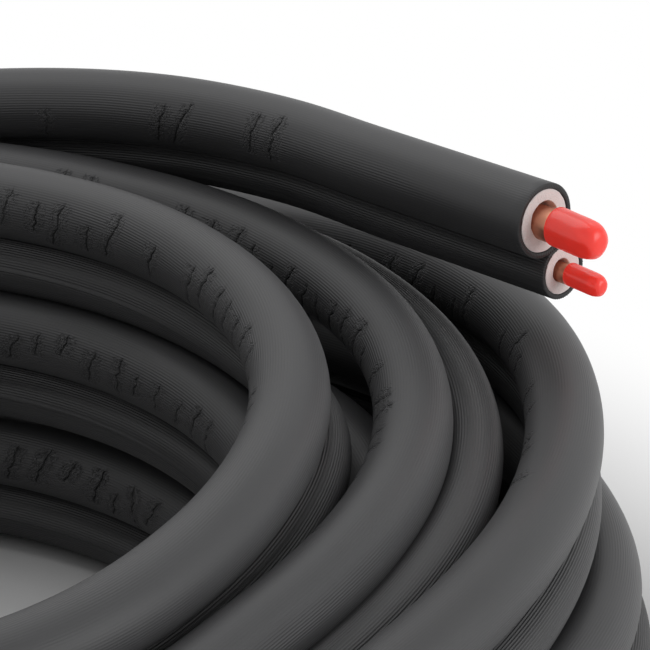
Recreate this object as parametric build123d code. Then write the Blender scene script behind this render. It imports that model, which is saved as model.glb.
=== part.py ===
# Coil of twin insulated copper line: a large and a small tube, each in a foam sleeve and a black
# skin, bonded side by side and wound in three layers of three turns. Millimetres, +Z up, with the
# origin on the floor at the coil's axis.
from build123d import *
import math
import os

# Section of the large line
large_jacket_diameter = 36.0
large_skin = 2.8
large_tube_diameter = 15.88
large_tube_wall = 1.0

# Section of the small line
small_jacket_diameter = 28.0
small_skin = 2.4
small_tube_diameter = 9.52
small_tube_wall = 0.8

# How far the two jackets are melted into each other
bond_depth = 1.0

# How many flats draw one round: a jacket, and what shows at its cut
jacket_flat_count = 8
end_flat_count = 16

# The coil: radius of the bore, and how the turns of a layer lie beside and on each other
bore_radius = 208.0
layer_count = 3
layer_gap = 2.0
middle_turn_step = 57.0
outer_turn_step = 62.0
outer_turn_bulge = 21.0
middle_turn_slide = 24.0
outer_turn_slide = 40.0
bulge_turn_slide = 32.0
turn_lean = 50.0

# How far the plain core reaches past the centres of the turns round it
core_margin = 10.0

# The free end, lifted clear above the coil: the bend that leads up to it stands inside the outer
# top turn by the inset, and a straight run leaves it at the angle
free_end_inset = 9.0
free_end_angle = 34.0
free_end_height = 212.0
free_end_rise = 0.06
free_end_bank = 0.166
free_end_lean = 13.0
free_end_straight = 137.0
free_end_bend_angle = 110.0

# The tail end, which lies on top of the coil in the groove between the two outer turns and presses
# a little into the foam of the turn that holds it up
tail_end_inset = 33.0
tail_end_angle = 205.0
tail_end_press = 0.195
tail_end_rise = 0.03
tail_end_bank = 0.08
tail_end_lean = 90.0
tail_end_straight = 65.0
tail_end_bend_angle = 115.0

# What shows at each cut: bare tube between the foam and the cap, and how deep the pieces go in
sleeve_depth = 60.0
large_bare_length = 7.5
small_bare_length = 4.5
large_cap_length = 27.0
small_cap_length = 20.5
cap_overlap = 14.0
cap_head_room = 2.0
large_cap_wall = 1.25
small_cap_wall = 0.9
large_cap_rounding = 4.5
small_cap_rounding = 2.8

large_radius = large_jacket_diameter / 2
small_radius = small_jacket_diameter / 2
pair_pitch = large_radius + small_radius - bond_depth
layer_rise = large_jacket_diameter + small_jacket_diameter + layer_gap
inner_turn_radius = bore_radius + large_radius
middle_turn_radius = inner_turn_radius + middle_turn_step
outer_turn_radius = middle_turn_radius + outer_turn_step
free_end_bend_radius = outer_turn_radius - free_end_inset
tail_end_bend_radius = outer_turn_radius - tail_end_inset


def hanging(large_place, lean):
    """Give the small line's place: the lean turns it from straight out to straight down."""
    angle = math.radians(lean)
    radius, height = large_place
    return (radius + pair_pitch * math.cos(angle), height - pair_pitch * math.sin(angle))


def layer_places(layer):
    """Give the places of a layer's three pairs, from the bore outwards."""
    small_height = small_radius + layer * layer_rise
    inner = (inner_turn_radius, small_height + pair_pitch)
    on_floor = layer == 0
    on_top = layer == layer_count - 1
    if on_floor:
        flat_lean = math.degrees(math.asin((large_radius - small_radius) / pair_pitch))
        rows = [(middle_turn_radius, large_radius, flat_lean), (outer_turn_radius, large_radius, flat_lean)]
    elif on_top:
        rows = [
            (middle_turn_radius, inner[1] - middle_turn_slide, turn_lean),
            (outer_turn_radius, inner[1] - outer_turn_slide, turn_lean),
        ]
    else:
        rows = [
            (middle_turn_radius, inner[1] - middle_turn_slide, turn_lean),
            (outer_turn_radius + outer_turn_bulge, inner[1] - bulge_turn_slide, turn_lean),
        ]
    pairs = [(inner, hanging(inner, 90))]
    pairs += [((radius, height), hanging((radius, height), lean)) for radius, height, lean in rows]
    return pairs


def resting_height(radius, press):
    """Height at which a large line lies on top of the turns under that radius."""
    span = large_jacket_diameter - press
    heights = []
    for (turn_radius, turn_height), small_place in layer_places(layer_count - 1):
        aside = min(abs(radius - turn_radius), span)
        heights.append(turn_height + math.sqrt(span ** 2 - aside ** 2))
    return max(heights)


def round_section(radius, flats):
    """A round drawn with flats, one of them facing straight down."""
    return RegularPolygon(radius, flats, major_radius=False, rotation=180 / flats)


def end_round(radius):
    """Section of a piece at a cut end."""
    return round_section(radius, end_flat_count)


def wound_turns():
    """The wound pairs as one turned solid: rounds on every face, plain inside."""
    layers = [layer_places(layer) for layer in range(layer_count)]
    outline = Sketch()
    for pairs in layers:
        for large_place, small_place in pairs:
            outline += Pos(*large_place) * round_section(large_radius, jacket_flat_count)
            outline += Pos(*small_place) * round_section(small_radius, jacket_flat_count)
    inner_side = [place for pairs in layers for place in reversed(pairs[0])]
    top_side = [pairs[0] for pairs in layers[-1][1:]] + [layers[-1][-1][1]]
    outer_side = [place for pairs in reversed(layers[1:-1]) for place in pairs[-1]]
    floor_side = [place for pair in reversed(layers[0][1:]) for place in reversed(pair)]
    centres = make_face(Polyline(*inner_side, *top_side, *outer_side, *floor_side, close=True))
    outline += offset(centres, core_margin, kind=Kind.INTERSECTION)
    section = Face(outline.faces()[0].outer_wire())
    return revolve(Plane.XZ * section, Axis.Z, 360)


def lead_plane(angle, radius, straight, height, rise, bank, side):
    """Plane of a lead: origin at its cut, x along the line to the cut, y away from the axis.

    The straight leaves a bend of that radius at that angle. The side is 1 where the coil is on
    the right of the line as it runs to its cut, else -1.
    """
    turned = math.radians(angle)
    outward = Vector(math.cos(turned), math.sin(turned), 0)
    along = side * Vector(math.sin(turned), -math.cos(turned), 0)
    place = radius * outward + straight * along + Vector(0, 0, height)
    climbing = along + Vector(0, 0, rise)
    banked = outward + Vector(0, 0, bank)
    return Plane(origin=place, x_dir=climbing, z_dir=climbing.cross(banked))


def small_line_shift(plane, lean):
    """How far the small line lies from the large one in a lead's plane, out of it and below it."""
    angle = math.radians(lean)
    down = -1 if plane.z_dir.Z > 0 else 1
    return (pair_pitch * math.sin(angle), down * pair_pitch * math.cos(angle))


def lead(plane, shift, radius, straight, bend_radius, bend_angle):
    """One jacket of a lead: a bend that starts inside the coil, and a straight end."""
    outward, across = shift
    layer = Plane(
        origin=plane.from_local_coords((0, outward, across)), x_dir=plane.x_dir, z_dir=plane.z_dir
    )
    bend_centre = (-straight, -bend_radius - outward)
    bend = CenterArc(bend_centre, bend_radius + outward, 90 + bend_angle, -bend_angle)
    run = Line(bend @ 1, (0, 0))
    path = layer * Wire([bend.edge(), run.edge()])
    section = Plane(origin=path @ 0, z_dir=path % 0) * round_section(radius, jacket_flat_count)
    return sweep(section, path)


def cut_plane(plane, shift):
    """Plane of a line's cut face, facing out along the line."""
    outward, across = shift
    return Plane(
        origin=plane.from_local_coords((0, outward, across)), x_dir=plane.y_dir, z_dir=plane.x_dir
    )


def foam_radius(jacket_radius, skin):
    """Outside of the foam sleeve, which fills the skin."""
    return jacket_radius - skin


def sleeve(face, jacket_radius, skin, tube_diameter):
    """Foam sleeve behind the cut face."""
    ring = end_round(foam_radius(jacket_radius, skin)) - end_round(tube_diameter / 2)
    return extrude(face * ring, -sleeve_depth)


def copper_tube(face, tube_diameter, wall, bare_length):
    """Tube from behind the cut face to its own end inside the cap."""
    ring = end_round(tube_diameter / 2) - end_round(tube_diameter / 2 - wall)
    start = face.offset(-sleeve_depth)
    return extrude(start * ring, sleeve_depth + bare_length + cap_overlap)


def cap(face, tube_diameter, wall, bare_length, length, rounding):
    """Push-on cap: a blind cup with a rounded nose."""
    mouth = face.offset(bare_length)
    body = extrude(mouth * end_round(tube_diameter / 2 + wall), length)
    nose = body.edges().group_by(lambda edge: mouth.to_local_coords(edge.center()).Z)[-1]
    hollow = extrude(mouth * end_round(tube_diameter / 2), cap_overlap + cap_head_room)
    return chamfer(nose, rounding) - hollow


def line_end(name, plane, lean):
    """The six pieces that show at one cut end of the pair, by name."""
    lines = {
        "large": (
            cut_plane(plane, (0, 0)), large_radius, large_skin, large_tube_diameter,
            large_tube_wall, large_bare_length, large_cap_wall, large_cap_length, large_cap_rounding,
        ),
        "small": (
            cut_plane(plane, small_line_shift(plane, lean)), small_radius, small_skin,
            small_tube_diameter, small_tube_wall, small_bare_length, small_cap_wall,
            small_cap_length, small_cap_rounding,
        ),
    }
    pieces = {}
    for line, sizes in lines.items():
        face, jacket_radius, skin, diameter, wall, bare, cap_wall, cap_length, rounding = sizes
        pieces[f"{name}_{line}_sleeve"] = sleeve(face, jacket_radius, skin, diameter)
        pieces[f"{name}_{line}_tube"] = copper_tube(face, diameter, wall, bare)
        pieces[f"{name}_{line}_cap"] = cap(face, diameter, cap_wall, bare, cap_length, rounding)
    return pieces


def sleeve_room(plane, lean):
    """The two round pockets that the skins leave for the sleeves at one cut end."""
    large = end_round(foam_radius(large_radius, large_skin))
    small = end_round(foam_radius(small_radius, small_skin))
    room = extrude(cut_plane(plane, (0, 0)) * large, -sleeve_depth)
    return room + extrude(cut_plane(plane, small_line_shift(plane, lean)) * small, -sleeve_depth)


def twin_lead(plane, lean, straight, bend_radius, bend_angle):
    """Both jackets of a lead, melted together along their length, with pockets at the cut."""
    bend = (straight, bend_radius, bend_angle)
    large = lead(plane, (0, 0), large_radius, *bend)
    small = lead(plane, small_line_shift(plane, lean), small_radius, *bend)
    return large + small


os.makedirs("parts", exist_ok=True)
free_plane = lead_plane(
    free_end_angle, free_end_bend_radius, free_end_straight,
    free_end_height, free_end_rise, free_end_bank, 1,
)
tail_plane = lead_plane(
    tail_end_angle, tail_end_bend_radius, tail_end_straight,
    resting_height(tail_end_bend_radius, tail_end_press), tail_end_rise, tail_end_bank, -1,
)
free_bend = (free_end_straight, free_end_bend_radius, free_end_bend_angle)
tail_bend = (tail_end_straight, tail_end_bend_radius, tail_end_bend_angle)
jacket = wound_turns()
jacket += twin_lead(free_plane, free_end_lean, *free_bend)
jacket += twin_lead(tail_plane, tail_end_lean, *tail_bend)
jacket -= sleeve_room(free_plane, free_end_lean)
jacket -= sleeve_room(tail_plane, tail_end_lean)

pieces = {"twin_jacket": jacket}
pieces.update(line_end("free_end", free_plane, free_end_lean))
pieces.update(line_end("tail_end", tail_plane, tail_end_lean))
for name, piece in pieces.items():
    export_step(piece, f"parts/{name}.step")
    print(name, len(piece.solids()), "solid", round(piece.volume / 1000, 1), "cm3")
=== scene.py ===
"""Dresses a coil of twin insulated copper line: ribbed skins, foam, bare tube ends and red caps."""

import math
from collections import namedtuple

import bmesh
import bpy
import numpy as np
from mathutils import Matrix, Vector, noise


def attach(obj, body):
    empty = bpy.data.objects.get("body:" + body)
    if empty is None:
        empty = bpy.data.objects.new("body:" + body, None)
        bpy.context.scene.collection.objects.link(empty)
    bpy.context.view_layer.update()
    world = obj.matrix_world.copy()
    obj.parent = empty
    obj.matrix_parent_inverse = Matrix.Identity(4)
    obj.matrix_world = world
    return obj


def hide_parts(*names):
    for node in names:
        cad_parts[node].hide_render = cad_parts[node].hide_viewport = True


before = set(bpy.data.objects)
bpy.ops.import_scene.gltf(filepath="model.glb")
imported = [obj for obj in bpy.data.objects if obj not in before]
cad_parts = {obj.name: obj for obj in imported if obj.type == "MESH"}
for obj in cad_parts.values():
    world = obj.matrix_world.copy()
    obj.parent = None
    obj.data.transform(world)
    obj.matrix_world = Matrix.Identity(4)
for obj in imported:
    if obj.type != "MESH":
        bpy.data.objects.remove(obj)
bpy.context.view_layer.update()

bl_info = {
    "name": "Twin Line Coil",
    "version": (1, 0, 0),
    "blender": (4, 5, 0),
    "location": "3D View > Sidebar > Coil",
    "description": "Winds a coil of twin insulated copper line with capped ends",
    "category": "Object",
}

# Route of the large line, from its free cut to its tail: degrees wound, radius and height in
# millimetres, and how many degrees below level the small line lies beside it
ROUTE = (
    (12, 362.9, 212, 67), (19, 348, 209, 67), (26, 339.5, 206.5, 67), (34, 336, 204, 67),
    (53, 342, 196, 66), (72, 346, 182, 64), (90, 351, 166, 60), (109, 356, 150, 56),
    (130, 360, 131, 52), (160, 355, 129, 50), (200, 346, 129, 50), (240, 342, 129, 52),
    (270, 322, 128, 56), (295, 302, 131, 60), (312, 287, 133, 64), (325, 291, 133, 67),
    (340, 310, 133, 76), (360, 348, 133, 82), (380, 386, 131, 84), (398, 392, 127, 81),
    (408, 389, 119, 79), (420, 385, 114, 78), (445, 379, 107, 82), (458, 377, 100, 81),
    (470, 376, 92, 73), (490, 377, 75, 66), (520, 370, 71, 56), (540, 364, 71, 52), (580, 364, 71, 50),
    (620, 362, 71, 52), (650, 336, 72, 58), (665, 319, 76, 62), (680, 317, 78, 64), (690, 320, 78, 66),
    (703, 340, 76, 68), (712, 359, 73, 70), (722, 371.5, 69, 74), (732, 378, 69, 74),
    (744, 378, 72, 72), (754, 379, 71, 68), (765, 380, 65, 68), (777, 375, 57, 72), (795, 370, 51, 76),
    (807, 368, 46, 64), (822, 365, 38, 42), (840, 358, 23, 15), (858, 352, 18, 7), (900, 352, 18, 7),
    (960, 352, 18, 7), (1000, 350, 18, 7), (1025, 338, 18, 7), (1040, 327, 18, 7), (1060, 332, 18, 7),
    (1080, 344, 18, 7), (1095, 351, 18, 7), (1108, 350, 18, 7), (1125, 334, 18, 7), (1145, 306, 18, 7),
    (1165, 288, 18, 7), (1200, 286, 18, 7), (1250, 288, 18, 7), (1290, 290, 18, 7), (1330, 286, 18, 7),
    (1352, 283, 21, 9), (1365, 280, 32, 18), (1380, 271, 48, 30), (1395, 260, 62, 40),
    (1410, 254, 74, 46), (1425, 259, 81, 48), (1440, 272, 88, 50), (1460, 287, 92, 50),
    (1480, 288, 90, 52), (1500, 285, 84, 55), (1530, 280, 81, 56), (1560, 280, 81, 56),
    (1600, 282, 79, 56), (1630, 280, 78, 66), (1650, 264, 68, 96), (1670, 245, 54, 98),
    (1690, 230, 46, 90), (1710, 224, 45, 91), (1750, 214, 45, 92), (1770, 214, 45, 92),
    (1785, 219, 45, 92), (1800, 227, 46, 92), (1820, 229, 47, 94), (1860, 232, 48, 97),
    (1880, 231, 50, 97), (1900, 229, 54, 95), (1920, 227, 64, 93), (1950, 226, 82, 92),
    (1980, 226, 97, 92), (2010, 226, 107, 92), (2040, 226, 111, 92), (2070, 223, 112, 92),
    (2100, 214, 110, 92), (2120, 210, 109, 92), (2140, 213, 110, 92), (2160, 224, 112, 93),
    (2200, 232, 115, 97), (2240, 231, 118, 99), (2260, 228, 121, 97), (2280, 227, 130, 94),
    (2310, 226, 147, 92), (2340, 226, 162, 91), (2370, 226, 172, 90), (2400, 226, 176, 90),
    (2430, 222, 175, 88), (2452, 210, 170, 88), (2480, 203, 168, 88), (2500, 210, 170, 75),
    (2520, 224, 172, 60), (2540, 237, 174, 78), (2560, 246, 176, 96), (2580, 247, 177.5, 101),
    (2600, 248, 179, 101), (2630, 247, 178, 78), (2660, 255, 173, 70), (2690, 268, 165, 62),
    (2715, 277, 158, 52), (2740, 280, 153, 48), (2770, 272, 148, 46), (2795, 252, 145, 44),
    (2815, 243, 144, 40), (2840, 234, 144, 37), (2860, 253, 146, 30), (2880, 279, 147, 27),
    (2900, 304, 149, 27), (2920, 317, 151, 27), (2940, 320, 153, 45), (2952, 321, 155, 65),
    (2965, 316, 157, 74), (2978, 309, 160, 76), (2990, 305, 166, 70), (3005, 305, 172, 55),
    (3020, 307, 176, 35), (3035, 310, 176, 14), (3050, 312, 175, 3), (3065, 312, 174, 0),
    (3085, 312, 174, 0), (3091, 313.7, 174, 0), (3097, 318.7, 174, 0),
)

# How the route is drawn: the step between its points, and how far its bends are eased, in degrees
ROUTE_STEP = 0.5
ROUTE_EASE = 6.5

# The two straight runs that end in a cut, in degrees and millimetres: the angle and radius where the
# run leaves its bend, its length, its height at the cut, its slopes along and across the line, the
# small line's lean, and the side that the coil is on
Run = namedtuple("Run", "angle radius straight height rise bank lean side")
RUNS = {
    "free_end": Run(34.0, 336.0, 137.0, 212.0, 0.06, 0.166, 13.0, 1),
    "tail_end": Run(205.0, 312.0, 65.0, 174.0, 0.03, 0.08, 90.0, -1),
}

# How a run takes over from the route: it starts this many of its own lengths behind the cut, takes
# this many to do it, and looks no farther round the coil than these degrees
RUN_START = 1.35
RUN_BLEND = 0.5
RUN_TURN = 60

# Stretches of skin made as one mesh each: name, and the degrees wound where it starts
STRETCHES = (
    ("free_end", 12), ("first_turn", 75), ("outer_turns", 540), ("buried_turns", 1140),
    ("bore_turns", 1680), ("top_inner_turns", 2400), ("top_outer_turns", 2760),
)

MM_PER_METRE = 1000

# Cut end of a skin, in metres: its worn lip, how far in the rings of its rim lie, from the inside out,
# how rough they are, and how far in the large skin stays plain
LIP = 0.0004
RIM_FAR = np.array([0.02, LIP, 0, 0])
RIM_ROUGHNESS = 0.00012
CUT_MARGIN = 0.006

# Mesh of the skins: flats round the large one, spacing of the small one's rings, and its seam
LARGE_AROUND = 48
SMALL_RING_STEP = 0.01
SEAM_HEIGHT = 0.0003

# Radius of the tightest bend that the finish tells from a slacker one, in metres
TIGHT_BEND = 0.25

# Fall of the tubes outside the cuts, for each metre out
DROOP = 0.075

# A cap: how far it goes over its tube and past it, its outside in tubes, and its round nose in
# outside radii
CAP_OVERLAP = 0.014
CAP_HEAD_ROOM = 0.002
CAP_FIT = 1.165
CAP_NOSE = 0.75

WHITE = (1, 1, 1, 1)

# One of the four cut ends: its centre and ways, then the radii and lengths of its line, in metres
LineEnd = namedtuple("LineEnd", "name place along up side jacket skin tube wall bare cap")


class CoilSizes(bpy.types.PropertyGroup):
    """Sizes of the two lines, in metres."""

    large_jacket: bpy.props.FloatProperty(
        name="Large jacket", description="Outside of the large line's skin", default=0.036,
        subtype="DISTANCE", unit="LENGTH",
    )
    small_jacket: bpy.props.FloatProperty(
        name="Small jacket", description="Outside of the small line's skin", default=0.028,
        subtype="DISTANCE", unit="LENGTH",
    )
    large_skin: bpy.props.FloatProperty(
        name="Large skin", description="Thickness of the large line's skin", default=0.0028,
        subtype="DISTANCE", unit="LENGTH",
    )
    small_skin: bpy.props.FloatProperty(
        name="Small skin", description="Thickness of the small line's skin", default=0.0024,
        subtype="DISTANCE", unit="LENGTH",
    )
    bond_depth: bpy.props.FloatProperty(
        name="Bond", description="How far the two skins are melted into each other", default=0.001,
        subtype="DISTANCE", unit="LENGTH",
    )
    large_tube: bpy.props.FloatProperty(
        name="Large tube", description="Outside of the large copper tube", default=0.01588,
        subtype="DISTANCE", unit="LENGTH",
    )
    small_tube: bpy.props.FloatProperty(
        name="Small tube", description="Outside of the small copper tube", default=0.00952,
        subtype="DISTANCE", unit="LENGTH",
    )
    large_wall: bpy.props.FloatProperty(
        name="Large tube wall", description="Wall of the large copper tube", default=0.001,
        subtype="DISTANCE", unit="LENGTH",
    )
    small_wall: bpy.props.FloatProperty(
        name="Small tube wall", description="Wall of the small copper tube", default=0.0008,
        subtype="DISTANCE", unit="LENGTH",
    )
    large_bare: bpy.props.FloatProperty(
        name="Large bare tube", description="Tube shown between the large foam and its cap",
        default=0.0075, subtype="DISTANCE", unit="LENGTH",
    )
    small_bare: bpy.props.FloatProperty(
        name="Small bare tube", description="Tube shown between the small foam and its cap",
        default=0.0045, subtype="DISTANCE", unit="LENGTH",
    )
    large_cap: bpy.props.FloatProperty(
        name="Large cap", description="Length of the large cap", default=0.027,
        subtype="DISTANCE", unit="LENGTH",
    )
    small_cap: bpy.props.FloatProperty(
        name="Small cap", description="Length of the small cap", default=0.0205,
        subtype="DISTANCE", unit="LENGTH",
    )
    sleeve_depth: bpy.props.FloatProperty(
        name="Sleeve depth", description="How far the foam and tube go in behind a cut", default=0.06,
        subtype="DISTANCE", unit="LENGTH",
    )
    foam_play: bpy.props.FloatProperty(
        name="Foam play", description="How much wider the hole in the foam is than its tube",
        default=0.0018, subtype="DISTANCE", unit="LENGTH",
    )
    rib_pitch: bpy.props.FloatProperty(
        name="Rib pitch", description="Spacing of the fine ribs round a skin", default=0.0013,
        subtype="DISTANCE", unit="LENGTH",
    )
    rib_depth: bpy.props.FloatProperty(
        name="Rib depth", description="Depth of the ribs of the small skin", default=0.0003,
        subtype="DISTANCE", unit="LENGTH",
    )
    crease_depth: bpy.props.FloatProperty(
        name="Crease depth", description="Depth of the creases inside a bend", default=0.0011,
        subtype="DISTANCE", unit="LENGTH",
    )


class CoilColours(bpy.types.PropertyGroup):
    """Colours of the finishes."""

    skin: bpy.props.FloatVectorProperty(
        name="Skin", description="Black ribbed skin", default=(0.066, 0.066, 0.068),
        subtype="COLOR", min=0, max=1,
    )
    foam: bpy.props.FloatVectorProperty(
        name="Foam", description="White foam inside the skin", default=(0.9, 0.84, 0.82),
        subtype="COLOR", min=0, max=1,
    )
    copper: bpy.props.FloatVectorProperty(
        name="Copper", description="Bare copper tube", default=(0.56, 0.25, 0.16),
        subtype="COLOR", min=0, max=1,
    )
    cap: bpy.props.FloatVectorProperty(
        name="Cap", description="Soft plastic end cap", default=(0.93, 0.05, 0.035),
        subtype="COLOR", min=0, max=1,
    )
    floor: bpy.props.FloatVectorProperty(
        name="Floor", description="Pale floor round the coil", default=(0.8, 0.8, 0.8),
        subtype="COLOR", min=0, max=1,
    )


class Flow:
    """A socket whose arithmetic adds the nodes that work it out."""

    def __init__(self, tree, socket):
        self.tree = tree
        self.socket = socket

    def math(self, operation, *others):
        values = dict(enumerate((self,) + others))
        return self.tree.node("ShaderNodeMath", {"operation": operation}, values)

    def __add__(self, other):
        return self.math("ADD", other)

    __radd__ = __add__

    def __sub__(self, other):
        return self.math("SUBTRACT", other)

    def __rsub__(self, other):
        return self * -1 + other

    def __mul__(self, other):
        return self.math("MULTIPLY", other)

    __rmul__ = __mul__

    def __abs__(self):
        return self.math("ABSOLUTE")

    def __mod__(self, other):
        return self.math("FLOORED_MODULO", other)

    def clear(self, low, high):
        """0 below the low value and 1 above the high one, smooth between."""
        values = {"Value": self, "From Min": low, "From Max": high}
        return self.tree.node("ShaderNodeMapRange", {"interpolation_type": "SMOOTHSTEP"}, values)


class Nodes:
    """The node tree of a material or a world."""

    def __init__(self, owner, output):
        owner.use_nodes = True
        self.tree = owner.node_tree
        self.tree.nodes.clear()
        self.output = self.tree.nodes.new(output)

    def node(self, kind, settings=None, values=None, out=0):
        """Add a node: its settings first, then the values or links of its sockets."""
        made = self.tree.nodes.new(kind)
        for key, value in (settings or {}).items():
            setattr(made, key, value)
        for key, value in (values or {}).items():
            self.set(made.inputs[key], value)
        return Flow(self, made.outputs[out])

    def set(self, socket, value):
        if isinstance(value, Flow):
            self.tree.links.new(value.socket, socket)
        else:
            socket.default_value = value

    def show(self, shader):
        self.set(self.output.inputs["Surface"], shader)

    def attribute(self, name):
        return self.node("ShaderNodeAttribute", {"attribute_name": name}, out="Fac")

    def spot(self):
        """Place on the piece, in metres."""
        return self.node("ShaderNodeTexCoord", out="Object")

    def noise(self, vector, scale, detail, roughness=0.5):
        values = {"Vector": vector, "Scale": scale, "Detail": detail, "Roughness": roughness}
        return self.node("ShaderNodeTexNoise", None, values)

    def pattern(self, x, y, choice, detail, roughness=0.5):
        """Noise across a skin: x and y stretch it, and the choice picks one of its patterns."""
        vector = self.node("ShaderNodeCombineXYZ", None, {"X": x, "Y": y, "Z": choice})
        return self.noise(vector, 1.0, detail, roughness)

    def mix(self, factor, first, second):
        values = {"Factor": factor, 6: first, 7: second}
        return self.node("ShaderNodeMix", {"data_type": "RGBA"}, values, out=2)

    def mix_shader(self, factor, first, second):
        return self.node("ShaderNodeMixShader", None, {0: factor, 1: first, 2: second})

    def bump(self, height, distance):
        return self.node("ShaderNodeBump", None, {"Height": height, "Distance": distance})

    def background_seen(self):
        """1 for the rays that should find a plain white background, else 0."""
        rays = ("Is Camera Ray", "Is Glossy Ray", "Is Transmission Ray")
        camera, gloss, glass = (self.node("ShaderNodeLightPath", out=ray) for ray in rays)
        return camera.math("MAXIMUM", gloss).math("MAXIMUM", glass)


class Finish(Nodes):
    """A material with one Principled shader."""

    def __init__(self, name, **constants):
        self.material = bpy.data.materials.new(name)
        super().__init__(self.material, "ShaderNodeOutputMaterial")
        self.shader = self.node("ShaderNodeBsdfPrincipled")
        self.show(self.shader)
        self.feed(**constants)

    def feed(self, **links):
        """Set or link the shader's sockets, whose spaces are written as underscores."""
        for key, value in links.items():
            self.set(self.shader.socket.node.inputs[key.replace("_", " ")], value)


def rgba(colour, share=1.0):
    """The colour as a socket takes it, darkened or lightened by the share."""
    return (colour[0] * share, colour[1] * share, colour[2] * share, 1.0)


class SkinFinish(Finish):
    """A black skin: its clouds of gloss, the places on its mesh, and dark rims at its cuts."""

    def __init__(self, name, choice):
        super().__init__(name, Specular_IOR_Level=0.3)
        self.along = self.attribute("along")
        self.girth = self.attribute("girth")
        self.cloud = self.pattern(self.along * 20, self.girth * 40, choice, 3.0)
        self.feed(Roughness=self.cloud * 0.12 + 0.42)

    def paint(self, colour, rim):
        self.feed(Base_Color=self.mix(self.attribute("cut"), colour, rim))


def large_skin_finish(sizes, colours):
    """Black skin, nearly smooth, with faint ribs, and chapped round the creases inside its bends, with
    painted shade in their cracks.
    """
    finish = SkinFinish("black_large_skin", 0)
    along, girth = finish.along, finish.girth
    inner, crease, worn = (finish.attribute(name) for name in ("inner", "crease", "worn"))
    rib_wander, rib_height, chip_depth, split_depth = 0.0012, 0.00008, 0.0006, 0.0006
    wander = finish.pattern(along * 14, girth * 30, 0, 1.0) - 0.5
    ribs = ((girth + wander * rib_wander) * (math.tau / sizes.rib_pitch)).math("SINE")
    underside = (girth * (2 / sizes.large_jacket)).math("COSINE").clear(-0.7, 0.8)
    shown = finish.pattern(along * 9, girth * 60, 3, 2.0).clear(0.4, 0.7)
    ribs = ribs * (underside * 0.7 + shown * 0.5 + inner.clear(0.4, 1.0) * 0.5 + 0.08)
    chips = finish.pattern(along * 900 + girth * 300, girth * 420, 0, 2.0, 0.6).clear(0.48, 0.62)
    chips = chips * worn.clear(0.05, 0.5)
    ragged = finish.pattern(along * 300, girth * 500, 7, 2.0) - 0.5
    gap = abs((crease + ragged * 0.1 + 0.5) % 1.0 - 0.5)
    split = (1 - gap.clear(0.006, 0.04)) * worn.clear(0.0, 0.6)
    relief = ribs * rib_height - chips * chip_depth - split * split_depth
    finish.feed(Normal=finish.bump(relief, 1.0))
    plain = finish.mix(finish.cloud, rgba(colours.skin, 0.85), rgba(colours.skin, 1.15))
    dusty = finish.mix(inner.clear(0.2, 1) * worn * 0.2, plain, rgba(colours.skin, 1.6))
    # Painted shade: the crack lines are darkened to a near-black copy of the skin, standing in for the
    # shade in their grooves.
    crack_shaded = finish.mix(split * 0.9, dusty, rgba(colours.skin, 0.1))
    finish.paint(crack_shaded, rgba(colours.skin, 0.3))
    return finish.material


def small_skin_finish(colours):
    """Black skin of the small line, whose ribs and seam are in the mesh, painted darker than the large
    skin as painted shade under the large line.
    """
    finish = SkinFinish("black_small_skin", 5)
    grain = finish.pattern(finish.along * 300, finish.girth * 900, 0, 2.0)
    finish.feed(Normal=finish.bump(grain, 0.00008))
    # Painted shade: the same skin colour, darker than on the large line, for the shade that the small
    # line lies in.
    plain = finish.mix(finish.cloud, rgba(colours.skin, 0.65), rgba(colours.skin, 0.9))
    finish.paint(plain, rgba(colours.skin, 0.3))
    return finish.material


def foam_finish(colours):
    """Closed-cell foam: pale and softly pitted, with painted shade in its pits."""
    finish = Finish("white_foam", Roughness=0.85)
    cells = finish.noise(finish.spot(), 1400.0, 2.0)
    # Painted shade: the colour follows the pitting and is a little darker where the surface is low.
    finish.feed(Base_Color=finish.mix(cells, rgba(colours.foam, 0.9), rgba(colours.foam)))
    finish.feed(Normal=finish.bump(cells, 0.0003))
    return finish.material


def copper_finish(colours):
    """Dull drawn copper, softly stained."""
    finish = Finish("bare_copper", Metallic=0.9)
    stain = finish.noise(finish.spot(), 160.0, 3.0)
    finish.feed(Base_Color=finish.mix(stain, rgba(colours.copper, 0.8), rgba(colours.copper, 1.15)))
    finish.feed(Roughness=stain * 0.2 + 0.3)
    return finish.material


def cap_finish(colours):
    """Glossy soft red plastic that lets some light through, with a weak painted glow in its own red,
    though it is no lamp.
    """
    finish = Finish("red_plastic", Roughness=0.25, Specular_IOR_Level=0.3)
    finish.feed(Coat_Weight=0.2, Coat_Roughness=0.05)
    finish.feed(Subsurface_Weight=0.9, Subsurface_Scale=0.008, Subsurface_Radius=(1.0, 0.25, 0.15))
    # Painted light: the cap emits its own red so that it looks brighter than its lamps make it.
    finish.feed(Emission_Color=rgba(colours.cap), Emission_Strength=0.3)
    ripple = finish.noise(finish.spot(), 130.0, 1.0)
    finish.feed(Normal=finish.bump(ripple, 0.0004))
    finish.feed(Base_Color=finish.mix(ripple, rgba(colours.cap, 0.9), rgba(colours.cap)))
    return finish.material


def run_frame(name):
    """Cut of a run, in metres: its centre, the way along the line, and the small line's offset."""
    run = RUNS[name]
    turned = math.radians(run.angle)
    outward = Vector((math.cos(turned), math.sin(turned), 0))
    along = run.side * Vector((math.sin(turned), -math.cos(turned), 0))
    place = run.radius * outward + run.straight * along + Vector((0, 0, run.height))
    x_axis = (along + Vector((0, 0, run.rise))).normalized()
    z_axis = x_axis.cross(outward + Vector((0, 0, run.bank))).normalized()
    y_axis = z_axis.cross(x_axis)
    if z_axis.z < 0:
        z_axis = -z_axis
    leaned = math.radians(run.lean)
    offset = math.sin(leaned) * y_axis - math.cos(leaned) * z_axis
    return place / MM_PER_METRE, x_axis, offset


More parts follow.
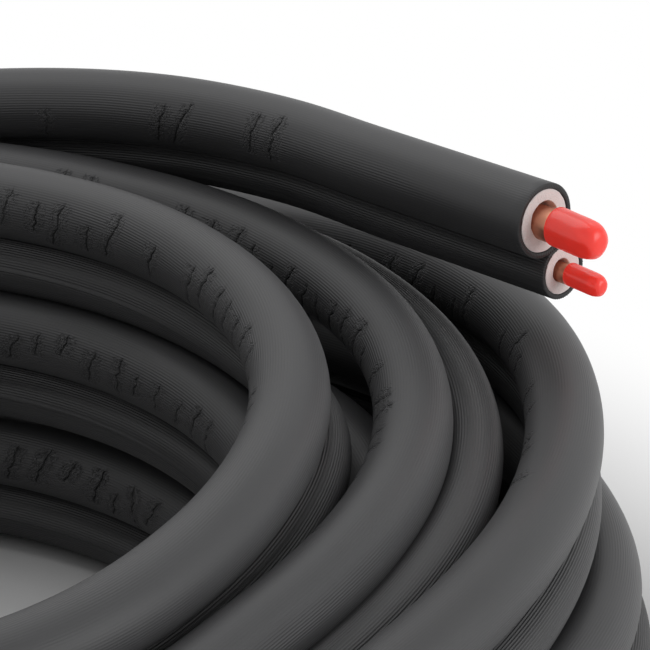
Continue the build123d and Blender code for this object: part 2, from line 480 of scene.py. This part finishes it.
def pair_pitch(sizes):
    """Distance between the centres of the two lines."""
    return (sizes.large_jacket + sizes.small_jacket) / 2 - sizes.bond_depth


def smoothed(values, width):
    """The values along the route, each with its neighbours worked in."""
    reach = int(width * 3)
    weights = np.exp(-0.5 * (np.arange(-reach, reach + 1) / width) ** 2)
    padded = np.concatenate([
        2 * values[0] - values[reach:0:-1], values, 2 * values[-1] - values[-2:-reach - 2:-1],
    ])
    return np.convolve(padded, weights / weights.sum(), "valid")


def route(sizes):
    """Degrees wound at each step of the route, and there the centres of both lines, in metres."""
    rows = np.array(ROUTE)
    wound = np.arange(rows[0, 0], rows[-1, 0] + ROUTE_STEP / 2, ROUTE_STEP)
    radius, height, lean = (
        smoothed(np.interp(wound, rows[:, 0], column), ROUTE_EASE / ROUTE_STEP)
        for column in rows[:, 1:].T
    )
    turned = np.radians(wound)
    leaned = np.radians(lean)
    pitch = pair_pitch(sizes) * MM_PER_METRE
    lines = []
    for out, down in ((0, 0), (np.cos(leaned) * pitch, np.sin(leaned) * pitch)):
        reach = radius + out
        line = np.stack([reach * np.cos(turned), reach * np.sin(turned), height - down], 1)
        lines.append(line / MM_PER_METRE)
    straighten("free_end", wound, lines, pitch)
    straighten("tail_end", wound[::-1], [line[::-1] for line in lines], pitch)
    return wound, lines


def straighten(name, wound, lines, pitch):
    """Lead both lines, which start at that cut, into their places in its run."""
    place, along, offset = run_frame(name)
    straight = RUNS[name].straight / MM_PER_METRE
    behind = (np.array(place) - lines[0]) @ np.array(along)
    near = np.abs(wound - wound[0]) < RUN_TURN
    share = np.clip((straight * RUN_START - behind) / (straight * RUN_BLEND), 0, 1)
    share = np.where(near, share, 0)[:, None]
    share = share * share * (3 - 2 * share)
    behind = behind - behind[0]
    for index, line in enumerate(lines):
        cut = np.array(place + offset * pitch / MM_PER_METRE * index)
        line[:] = share * (cut - behind[:, None] * np.array(along)) + (1 - share) * line


def unit(rows):
    """The rows as vectors of length 1."""
    return rows / np.linalg.norm(rows, axis=1)[:, None]


class Line:
    """One line of the pair along the whole route, with its bend and the way to its twin."""

    def __init__(self, wound, points, twin):
        steps = np.linalg.norm(np.diff(points, axis=0), axis=1)
        self.wound = wound
        self.points = points
        self.far = np.concatenate([[0], np.cumsum(steps)])
        self.heading = unit(np.gradient(points, self.far, axis=0))
        self.bend = np.gradient(self.heading, self.far, axis=0)
        self.towards = twin - points

    def at(self, far, rows):
        """One of the line's rows of vectors, at the given distances from the free cut."""
        return np.stack([np.interp(far, self.far, rows[:, i]) for i in range(3)], 1)

    def bends(self, far):
        """How sharply the line bends there: 1 over the radius of the bend."""
        return np.interp(far, self.far, np.linalg.norm(self.bend, axis=1))

    def spokes(self, far, angles):
        """Heading of the line there, and the ways out of it at those angles from its twin."""
        heading = unit(self.at(far, self.heading))
        towards = self.at(far, self.towards)
        towards = unit(towards - (towards * heading).sum(1)[:, None] * heading)
        aside = np.cross(heading, towards)
        turn = angles[None, :, None]
        return heading, towards[:, None] * np.cos(turn) + aside[:, None] * np.sin(turn)

    def from_inside(self, far, angles):
        """The same ways out, as angles from the inside of the line's bend."""
        heading, spokes = self.spokes(far, angles)
        inward = unit(self.at(far, self.bend))
        over = np.cross(heading, inward)
        return np.arctan2((spokes * over[:, None]).sum(2), (spokes * inward[:, None]).sum(2))


def bonded_outline(angles, radius, twin_radius, pitch):
    """Reach of a skin at each angle from its twin: a round with a fillet into the other skin."""
    fillet = 0.0012
    facing = 0.3
    toward = np.cos(angles)
    middle = (pitch + radius - twin_radius) / 2
    reach = np.full(len(angles), radius)
    # Each step moves the reach nearer to where the two rounds, with the fillet, have their edge
    for _ in range(40):
        own = reach - radius
        other = np.sqrt(reach ** 2 + pitch ** 2 - 2 * reach * pitch * toward) - twin_radius
        blend = np.clip(fillet - np.abs(own - other), 0, None) ** 2 / (4 * fillet)
        reach = reach - np.minimum(own, other) + blend
        half_way = middle / np.maximum(toward, facing)
        reach = np.where(toward > facing, np.minimum(reach, half_way), reach)
    return reach


class Creases:
    """Ragged creases across the inside of a line's bends, numbered from its free cut.

    A crease is a groove with a rim on each side, and the skin round it is worn. Lengths are in
    metres. The buried turns, between two values of degrees wound, have none.
    """

    # Spacing of the places for a crease: its mean, its range, and how far they keep from the two cuts
    pace = 0.016
    spacing = (0.012, 0.02)
    margins = (0.012, 0.02)

    # From the middle of a crease to the side of its groove and to its rim, and the fading past the rim
    groove = 0.001
    rim = 0.0026
    wear = 0.0055

    # How sharply the line bends, as 1 over its radius, where creases begin and where they are at most
    bends = (2.2, 4.2)
    buried = (560, 1680)

    def __init__(self, line, angles, radius):
        dice = np.random.default_rng(11)
        length = line.far[-1]
        steps = dice.uniform(*self.spacing, int(length / self.pace))
        self.marks = self.margins[0] + np.cumsum(steps)
        self.marks = self.marks[self.marks < length - self.margins[1]]
        count = len(self.marks)
        wound = np.interp(self.marks, line.far, line.wound)
        slack, sharp = self.bends
        tight = np.clip((line.bends(self.marks) - slack) / (sharp - slack), 0, 1)
        in_view = (wound < self.buried[0]) | (wound > self.buried[1])
        here = (dice.random(count) < 0.5 + 0.42 * tight) & (tight > 0.05) & in_view
        self.depth = here * (0.4 + 0.6 * tight) * dice.uniform(0.45, 1, count)
        middle = dice.normal(0.002, 0.003, count)[:, None]
        half = (dice.uniform(0.006, 0.013, count) + (1 - tight) * 0.006)[:, None]
        slant = dice.normal(-0.25, 0.12, count)[:, None]
        girth = line.from_inside(self.marks, angles) * radius
        past = np.abs(girth - middle)
        self.mask = np.clip((half - past) / 0.003, 0, 1) * here[:, None]
        ragged = dice.normal(0, 0.0006, girth.shape)
        lean = slant * np.clip(girth - middle, -half, half) * np.clip(2 - past / half, 0, 1)
        self.shift = (lean + ragged * self.mask) * here[:, None]

    def rows(self):
        """Distances of the rings that draw the creases, and each one's place between two of them."""
        far, place = [], []
        for number, mark in enumerate(self.marks):
            if self.depth[number] > 0:
                offsets = (-self.rim, -self.groove, 0, self.groove, self.rim)
            else:
                offsets = (0,)
            far += [mark + offset for offset in offsets]
            place += [number + offset / self.pace for offset in offsets]
            if number + 1 < len(self.marks):
                far.append((mark + self.marks[number + 1]) / 2)
                place.append(number + 0.5)
        return np.array(far), np.array(place)

    def relief(self, place):
        """Shift along the line, depth and wear of the rings at those places."""
        dice = np.random.default_rng(12)
        lower = np.clip(np.floor(place).astype(int), 0, len(self.marks) - 2)
        share = np.clip(place - lower, 0, 1)[:, None]
        shift = self.shift[lower] * (1 - share) + self.shift[lower + 1] * share
        nearest = np.clip(np.rint(place).astype(int), 0, len(self.marks) - 1)
        off = np.abs(place - nearest)[:, None] * self.pace
        worn = self.mask[nearest] * self.depth[nearest][:, None]
        worn = worn * np.clip(1 - (off - self.rim) / self.wear, 0, 1)
        groove = np.clip(1 - off / self.groove, 0, 1)
        chips = dice.normal(0.03, 0.07, worn.shape) * (1 - groove)
        return shift, worn * (groove - chips), worn


def ribbed(along, girth, count):
    """Ribs as 0 and 1 in turn round the skin, which fade and come back along it."""
    waves = np.sin(along * 21 + 2 * np.sin(girth * 90)) + np.sin(along * 9.3 + girth * 140 + 1)
    return (np.arange(count) % 2)[None, :] * np.clip(0.75 + 0.25 * waves, 0.25, 1)


def rim_reach(outline, inside):
    """Reach of the rings of a cut rim, from inside the skin to its rough outer edge."""
    rim = np.zeros((len(RIM_FAR), len(outline)))
    rim[:2] = inside
    rim[2] = inside + LIP
    rim[3] = outline - LIP
    rim[2:] += np.random.default_rng(13).normal(0, RIM_ROUGHNESS, (2, len(outline)))
    return rim


def skin_grid(line, radius, twin_radius, skin, around, sizes, small):
    """Points and values of a whole skin, ring by ring, from inside one cut to inside the other."""
    angles = np.linspace(0, math.tau, around, endpoint=False)
    outline = bonded_outline(angles, radius, twin_radius, pair_pitch(sizes))
    rim = rim_reach(outline, radius - skin)
    rings, length = len(rim), line.far[-1]
    if small:
        far = np.linspace(LIP, length - LIP, int(length / SMALL_RING_STEP))
        place = np.zeros(len(far))
    else:
        creases = Creases(line, angles, radius)
        far, place = creases.rows()
        far = np.concatenate([[LIP, CUT_MARGIN], far, [length - CUT_MARGIN, length - LIP]])
        place = np.concatenate([[0, 0], place, place[-1:], place[-1:]])
    reach = np.concatenate([rim, np.tile(outline, (len(far), 1)), rim[::-1]])
    far = np.concatenate([RIM_FAR, far, length - RIM_FAR[::-1]])
    place = np.concatenate([np.zeros(rings), place, np.zeros(rings)])
    heading, spokes = line.spokes(far, angles)
    values = {
        "along": np.repeat(far[:, None], around, 1),
        "girth": np.tile(angles * radius, (len(far), 1)),
        "cut": np.zeros_like(reach),
    }
    values["cut"][:rings] = values["cut"][-rings:] = 1
    shift = np.zeros_like(reach)
    if small:
        shown = slice(rings - 1, 1 - rings)
        reach[shown] -= ribbed(values["along"], values["girth"], around)[shown] * sizes.rib_depth
        seam = around * 3 // 4
        reach[rings:-rings, seam:seam + 2] += SEAM_HEIGHT
    else:
        body = slice(rings + 2, -rings - 2)
        worn = np.zeros_like(reach)
        shift[body], sunk, worn[body] = creases.relief(place[body])
        reach[body] -= sunk * sizes.crease_depth
        bend = line.at(far, line.bend)
        values["inner"] = np.clip((spokes * bend[:, None]).sum(2) * TIGHT_BEND, -1, 1)
        values["crease"] = np.repeat(place[:, None], around, 1)
        values["worn"] = worn
    points = line.at(far, line.points)[:, None] + heading[:, None] * shift[:, :, None]
    points = points + spokes * reach[:, :, None]
    return far, points, values


def ring_mesh(name, points, values, ribs_sharp):
    """A mesh of quads through rings of points, with a value of each kind for each point."""
    rings, around = points.shape[:2]
    ring = np.arange(rings - 1)[:, None] * around
    here = np.arange(around)[None, :]
    after = (here + 1) % around
    faces = np.stack([ring + here, ring + after, ring + around + after, ring + around + here], 2)
    mesh = bpy.data.meshes.new(name)
    mesh.vertices.add(rings * around)
    mesh.vertices.foreach_set("co", points.ravel())
    mesh.loops.add(faces.size)
    mesh.loops.foreach_set("vertex_index", faces.ravel())
    mesh.polygons.add(faces.size // 4)
    mesh.polygons.foreach_set("loop_start", np.arange(0, faces.size, 4))
    mesh.update(calc_edges=True)
    for key, grid in values.items():
        mesh.attributes.new(key, "FLOAT", "POINT").data.foreach_set("value", grid.ravel())
    mesh.shade_smooth()
    if ribs_sharp:
        ends = np.empty(len(mesh.edges) * 2, int)
        mesh.edges.foreach_get("vertices", ends)
        column = ends.reshape(-1, 2) % around
        sharp = mesh.attributes.new("sharp_edge", "BOOLEAN", "EDGE")
        sharp.data.foreach_set("value", column[:, 0] == column[:, 1])
    return mesh


def add_piece(mesh, material, node):
    """Put a mesh in the scene, riding on the coil and standing for a CAD node."""
    piece = bpy.data.objects.new(mesh.name, mesh)
    bpy.context.scene.collection.objects.link(piece)
    mesh.materials.append(material)
    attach(piece, "root")
    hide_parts(node)


def wind_skin(scene, small):
    """Make one line's skin along the whole route, in its stretches."""
    sizes = scene.coil_sizes
    wound, lines = route(sizes)
    if small:
        line_name, finish = "small", small_skin_finish(scene.coil_colours)
        round_sizes = (sizes.small_jacket / 2, sizes.large_jacket / 2, sizes.small_skin)
        around = 2 * round(math.pi * sizes.small_jacket / sizes.rib_pitch)
    else:
        line_name, finish = "large", large_skin_finish(sizes, scene.coil_colours)
        round_sizes = (sizes.large_jacket / 2, sizes.small_jacket / 2, sizes.large_skin)
        around = LARGE_AROUND
    line = Line(wound, lines[small], lines[1 - small])
    far, points, values = skin_grid(line, *round_sizes, around, sizes, small)
    starts = np.interp([start for _, start in STRETCHES[1:]], wound, line.far)
    cuts = [0] + [int(np.abs(far - start).argmin()) for start in starts] + [len(far) - 1]
    for (name, _), first, last in zip(STRETCHES, cuts, cuts[1:]):
        part = slice(first, last + 1)
        piece_values = {key: grid[part] for key, grid in values.items()}
        mesh = ring_mesh(f"{line_name}_skin_{name}", points[part], piece_values, small)
        add_piece(mesh, finish, "twin_jacket")


def line_ends(sizes):
    """The four cut ends, each with the radii and lengths of its line."""
    large = (sizes.large_jacket / 2, sizes.large_skin, sizes.large_tube / 2, sizes.large_wall)
    small = (sizes.small_jacket / 2, sizes.small_skin, sizes.small_tube / 2, sizes.small_wall)
    for run in RUNS:
        place, along, offset = run_frame(run)
        up = -offset
        way = (along, up, along.cross(up))
        yield LineEnd(f"{run}_large", place, *way, *large, sizes.large_bare, sizes.large_cap)
        small_place = place + offset * pair_pitch(sizes)
        yield LineEnd(f"{run}_small", small_place, *way, *small, sizes.small_bare, sizes.small_cap)


def turned_mesh(name, end, profile, around, closed):
    """A solid turned about the line: the profile gives distances along it and radii."""
    build = bmesh.new()
    rows = []
    for distance, radius in profile:
        middle = end.place + end.along * distance
        turns = [i * math.tau / around for i in range(around if radius else 1)]
        spokes = [end.up * math.cos(turn) + end.side * math.sin(turn) for turn in turns]
        rows.append([build.verts.new(middle + spoke * radius) for spoke in spokes])
    following = rows[1:] + rows[:1] if closed else rows[1:]
    for first, second in zip(rows, following):
        for i in range(around):
            corners = ((first, i), (second, i), (second, i + 1), (first, i + 1))
            build.faces.new(dict.fromkeys(row[index % len(row)] for row, index in corners))
    bmesh.ops.recalc_face_normals(build, faces=build.faces)
    mesh = bpy.data.meshes.new(name)
    build.to_mesh(mesh)
    build.free()
    mesh.shade_smooth()
    mesh.set_sharp_from_angle(angle=math.radians(50))
    return mesh


def rounded(corner, before, after, size, steps=5):
    """Points that round off one corner of a profile."""
    corner, before, after = (np.array(point) for point in (corner, before, after))
    start = corner + (before - corner) / np.linalg.norm(before - corner) * size
    end = corner + (after - corner) / np.linalg.norm(after - corner) * size
    turns = np.linspace(0, math.pi / 2, steps + 1)
    middle = start + end - corner
    return [tuple(middle + (corner - end) * math.cos(t) + (corner - start) * math.sin(t)) for t in turns]


class COIL_OT_large_skin(bpy.types.Operator):
    """Wind the large line's skin, creased inside its bends"""

    bl_idname = "coil.large_skin"
    bl_label = "Large skin"

    def execute(self, context):
        wind_skin(context.scene, 0)
        return {"FINISHED"}


class COIL_OT_small_skin(bpy.types.Operator):
    """Wind the small line's ribbed skin"""

    bl_idname = "coil.small_skin"
    bl_label = "Small skin"

    def execute(self, context):
        wind_skin(context.scene, 1)
        return {"FINISHED"}


class COIL_OT_foam_sleeves(bpy.types.Operator):
    """Fill the skins with foam at each cut, with a loose hole for the tube"""

    bl_idname = "coil.foam_sleeves"
    bl_label = "Foam sleeves"

    def execute(self, context):
        sizes = context.scene.coil_sizes
        finish = foam_finish(context.scene.coil_colours)
        front, back, slip = -0.0003, -sizes.sleeve_depth, 0.00005
        outer_edge, hole_edge = 0.0006, 0.0005
        for end in line_ends(sizes):
            outside = end.jacket - end.skin - slip
            hole = end.tube + sizes.foam_play / 2
            profile = [(back, hole), (back, outside)]
            profile += rounded((front, outside), (back, outside), (front, 0), outer_edge)
            profile += [(front, hole + (outside - hole) * share) for share in (0.75, 0.5, 0.25)]
            profile += rounded((front, hole), (front, outside), (back, hole), hole_edge)
            mesh = turned_mesh(f"{end.name}_foam", end, profile, 96, True)
            loosen(mesh, end, hole, outside, sizes.foam_play / 2)
            add_piece(mesh, finish, f"{end.name}_sleeve")
        return {"FINISHED"}


def loosen(mesh, end, hole, outside, play):
    """Push the hole off centre, so that its play lies on one side, and leave the cut uneven."""
    to_side = 0.6 if "small" in end.name else -0.6
    loose = (end.up * 0.8 + end.side * to_side).normalized()
    face_depth, bump_scale, bump_height = -0.001, 420, 0.00025
    for vert in mesh.vertices:
        local = vert.co - end.place
        radial = (local - end.along * local.dot(end.along)).length
        share = min(max((outside - radial) / (outside - hole), 0), 1)
        vert.co += loose * play * 0.9 * share
        if local.dot(end.along) > face_depth:
            vert.co += end.along * noise.noise(vert.co * bump_scale) * bump_height


def droop(mesh, end):
    """Let what stands out of the cut hang a little, as a loose tube does."""
    for vert in mesh.vertices:
        out = (vert.co - end.place).dot(end.along)
        if out > 0:
            vert.co.z -= out * DROOP


class COIL_OT_copper_tubes(bpy.types.Operator):
    """Put a tube into each foam sleeve, bare up to its cap"""

    bl_idname = "coil.copper_tubes"
    bl_label = "Copper tubes"

    def execute(self, context):
        sizes = context.scene.coil_sizes
        finish = copper_finish(context.scene.coil_colours)
        for end in line_ends(sizes):
            back, front = -sizes.sleeve_depth, end.bare + CAP_OVERLAP
            outside, bore, edge = end.tube, end.tube - end.wall, end.wall * 0.4
            profile = [(back, bore), (back, outside)]
            profile += rounded((front, outside), (back, outside), (front, bore), edge, 3)
            profile += rounded((front, bore), (front, outside), (back, bore), edge, 3)
            mesh = turned_mesh(f"{end.name}_copper", end, profile, 72, True)
            droop(mesh, end)
            add_piece(mesh, finish, f"{end.name}_tube")
        return {"FINISHED"}


class COIL_OT_end_caps(bpy.types.Operator):
    """Push a dented soft cap on each tube"""

    bl_idname = "coil.end_caps"
    bl_label = "End caps"

    def execute(self, context):
        sizes = context.scene.coil_sizes
        finish = cap_finish(context.scene.coil_colours)
        for end in line_ends(sizes):
            mouth, tip = end.bare, end.bare + end.cap
            floor = mouth + CAP_OVERLAP + CAP_HEAD_ROOM
            outside = end.tube * CAP_FIT
            nose = outside * CAP_NOSE
            edge, ring_step = 0.0005, 0.001
            profile = [(floor, 0), (floor, end.tube), (mouth, end.tube)]
            profile += rounded((mouth, outside), (mouth, end.tube), (tip, outside), edge, 3)
            straight = np.arange(mouth + 2 * ring_step, tip - nose - edge, ring_step)
            profile += [(distance, outside) for distance in straight]
            profile += rounded((tip, outside), (mouth, outside), (tip, 0), nose, 9)
            profile += [(tip, (outside - nose) * share) for share in (0.66, 0.33, 0)]
            mesh = turned_mesh(f"{end.name}_plastic_cap", end, profile, 72, False)
            dent(mesh, end, outside, tip, nose)
            droop(mesh, end)
            add_piece(mesh, finish, f"{end.name}_cap")
        return {"FINISHED"}


def dent(mesh, end, outside, tip, nose):
    """Leave soft dents round the nose of a cap: each has an angle, a place back from it and a depth."""
    dents = (
        (25, 0.2, 0.5), (-32, 0.3, 0.45), (80, 0.1, 0.5),
        (140, 0.35, 0.4), (205, 0.15, 0.5), (275, 0.3, 0.4),
    )
    width, deepest, tilt = outside * 0.34, 0.22, 0.4
    for angle, back, deep in dents:
        turn = math.radians(angle)
        outward = end.up * math.cos(turn) + end.side * math.sin(turn)
        spot = end.place + end.along * (tip - nose * (0.5 + back)) + outward * outside
        push = (outward + end.along * tilt).normalized()
        for vert in mesh.vertices:
            gap = (vert.co - spot).length / width
            if gap < 3 and (vert.co - end.place).dot(end.along) > tip - nose * 2.6:
                vert.co -= push * deep * outside * deepest * math.exp(-gap * gap)


class COIL_OT_stage(bpy.types.Operator):
    """Lay the pale floor, hang the lamps and set the camera"""

    bl_idname = "coil.stage"
    bl_label = "Stage"

    def execute(self, context):
        scene = context.scene
        lay_floor(scene)
        light_world(scene)
        hang_lamps(scene)
        set_camera(scene)
        scene.view_settings.view_transform = "Standard"
        return {"FINISHED"}


def lay_floor(scene):
    """A broad pale floor that keeps the coil's shadow and looks white farther off."""
    build = bmesh.new()
    bmesh.ops.create_circle(build, cap_ends=True, segments=96, radius=14.0)
    bmesh.ops.translate(build, verts=build.verts, vec=(0, 0, -0.0005))
    mesh = bpy.data.meshes.new("pale_floor")
    build.to_mesh(mesh)
    build.free()
    floor = bpy.data.objects.new("pale_floor", mesh)
    scene.collection.objects.link(floor)
    finish = Finish("pale_floor", Roughness=0.9, Base_Color=rgba(scene.coil_colours.floor))
    away = finish.node("ShaderNodeVectorMath", {"operation": "LENGTH"}, {0: finish.spot()}, "Value")
    white = finish.node("ShaderNodeEmission", None, {"Color": WHITE, "Strength": 1.0})
    shade_start, shade_end = 0.38, 0.6
    factor = finish.background_seen() * away.clear(shade_start, shade_end)
    finish.show(finish.mix_shader(factor, finish.shader, white))
    mesh.materials.append(finish.material)


def light_world(scene):
    """A plain sky that the camera, gloss and glass see as white."""
    scene.world = bpy.data.worlds.new("soft_sky")
    sky = Nodes(scene.world, "ShaderNodeOutputWorld")
    soft = sky.node("ShaderNodeBackground", None, {"Color": WHITE, "Strength": 0.25})
    white = sky.node("ShaderNodeBackground", None, {"Color": WHITE, "Strength": 1.0})
    sky.show(sky.mix_shader(sky.background_seen(), soft, white))


def hang_lamps(scene):
    """Broad soft lamps: one above and behind the coil, one beside its free end."""
    target = Vector((0.1, 0.1, 0.1))
    for name, place, size, power in (
        ("top_lamp", (-0.1, 0.9, 2.1), 1.8, 17),
        ("side_lamp", (2.2, -1.1, 0.95), 1.5, 24),
    ):
        light = bpy.data.lights.new(name, "AREA")
        light.size = size
        light.energy = power
        lamp = bpy.data.objects.new(name, light)
        lamp.location = place
        aim = target - Vector(place)
        lamp.rotation_euler = aim.to_track_quat("-Z", "Y").to_euler()
        scene.collection.objects.link(lamp)


def set_camera(scene):
    """A long lens from the front, above the coil, framing its right-hand side."""
    data = bpy.data.cameras.new("photo_camera")
    data.sensor_width = 36.0
    data.lens = 192.0
    data.clip_start = 0.05
    data.clip_end = 60.0
    camera = bpy.data.objects.new("photo_camera", data)
    camera.location = (0.0, -1.32442, 0.88121)
    look = Vector((0.15904, 0.87950, -0.44853)).normalized()
    right = look.cross(Vector((0, 0, 1))).normalized()
    up = right.cross(look)
    turn = Matrix((right, up, -look)).transposed()
    camera.rotation_euler = turn.to_euler()
    scene.collection.objects.link(camera)
    scene.camera = camera


class COIL_PT_sidebar(bpy.types.Panel):
    """Steps that make the coil, in order"""

    bl_label = "Twin line coil"
    bl_space_type = "VIEW_3D"
    bl_region_type = "UI"
    bl_category = "Coil"

    def draw(self, context):
        for step in STEPS:
            self.layout.operator(step.bl_idname)


STEPS = (
    COIL_OT_large_skin, COIL_OT_small_skin, COIL_OT_foam_sleeves, COIL_OT_copper_tubes,
    COIL_OT_end_caps, COIL_OT_stage,
)
CLASSES = (CoilSizes, CoilColours) + STEPS + (COIL_PT_sidebar,)


def register():
    for item in CLASSES:
        bpy.utils.register_class(item)
    bpy.types.Scene.coil_sizes = bpy.props.PointerProperty(type=CoilSizes)
    bpy.types.Scene.coil_colours = bpy.props.PointerProperty(type=CoilColours)


def unregister():
    del bpy.types.Scene.coil_colours
    del bpy.types.Scene.coil_sizes
    for item in reversed(CLASSES):
        bpy.utils.unregister_class(item)


def main():
    register()
    for step in STEPS:
        group, name = step.bl_idname.split(".")
        getattr(getattr(bpy.ops, group), name)()


if __name__ == "__main__":
    main()
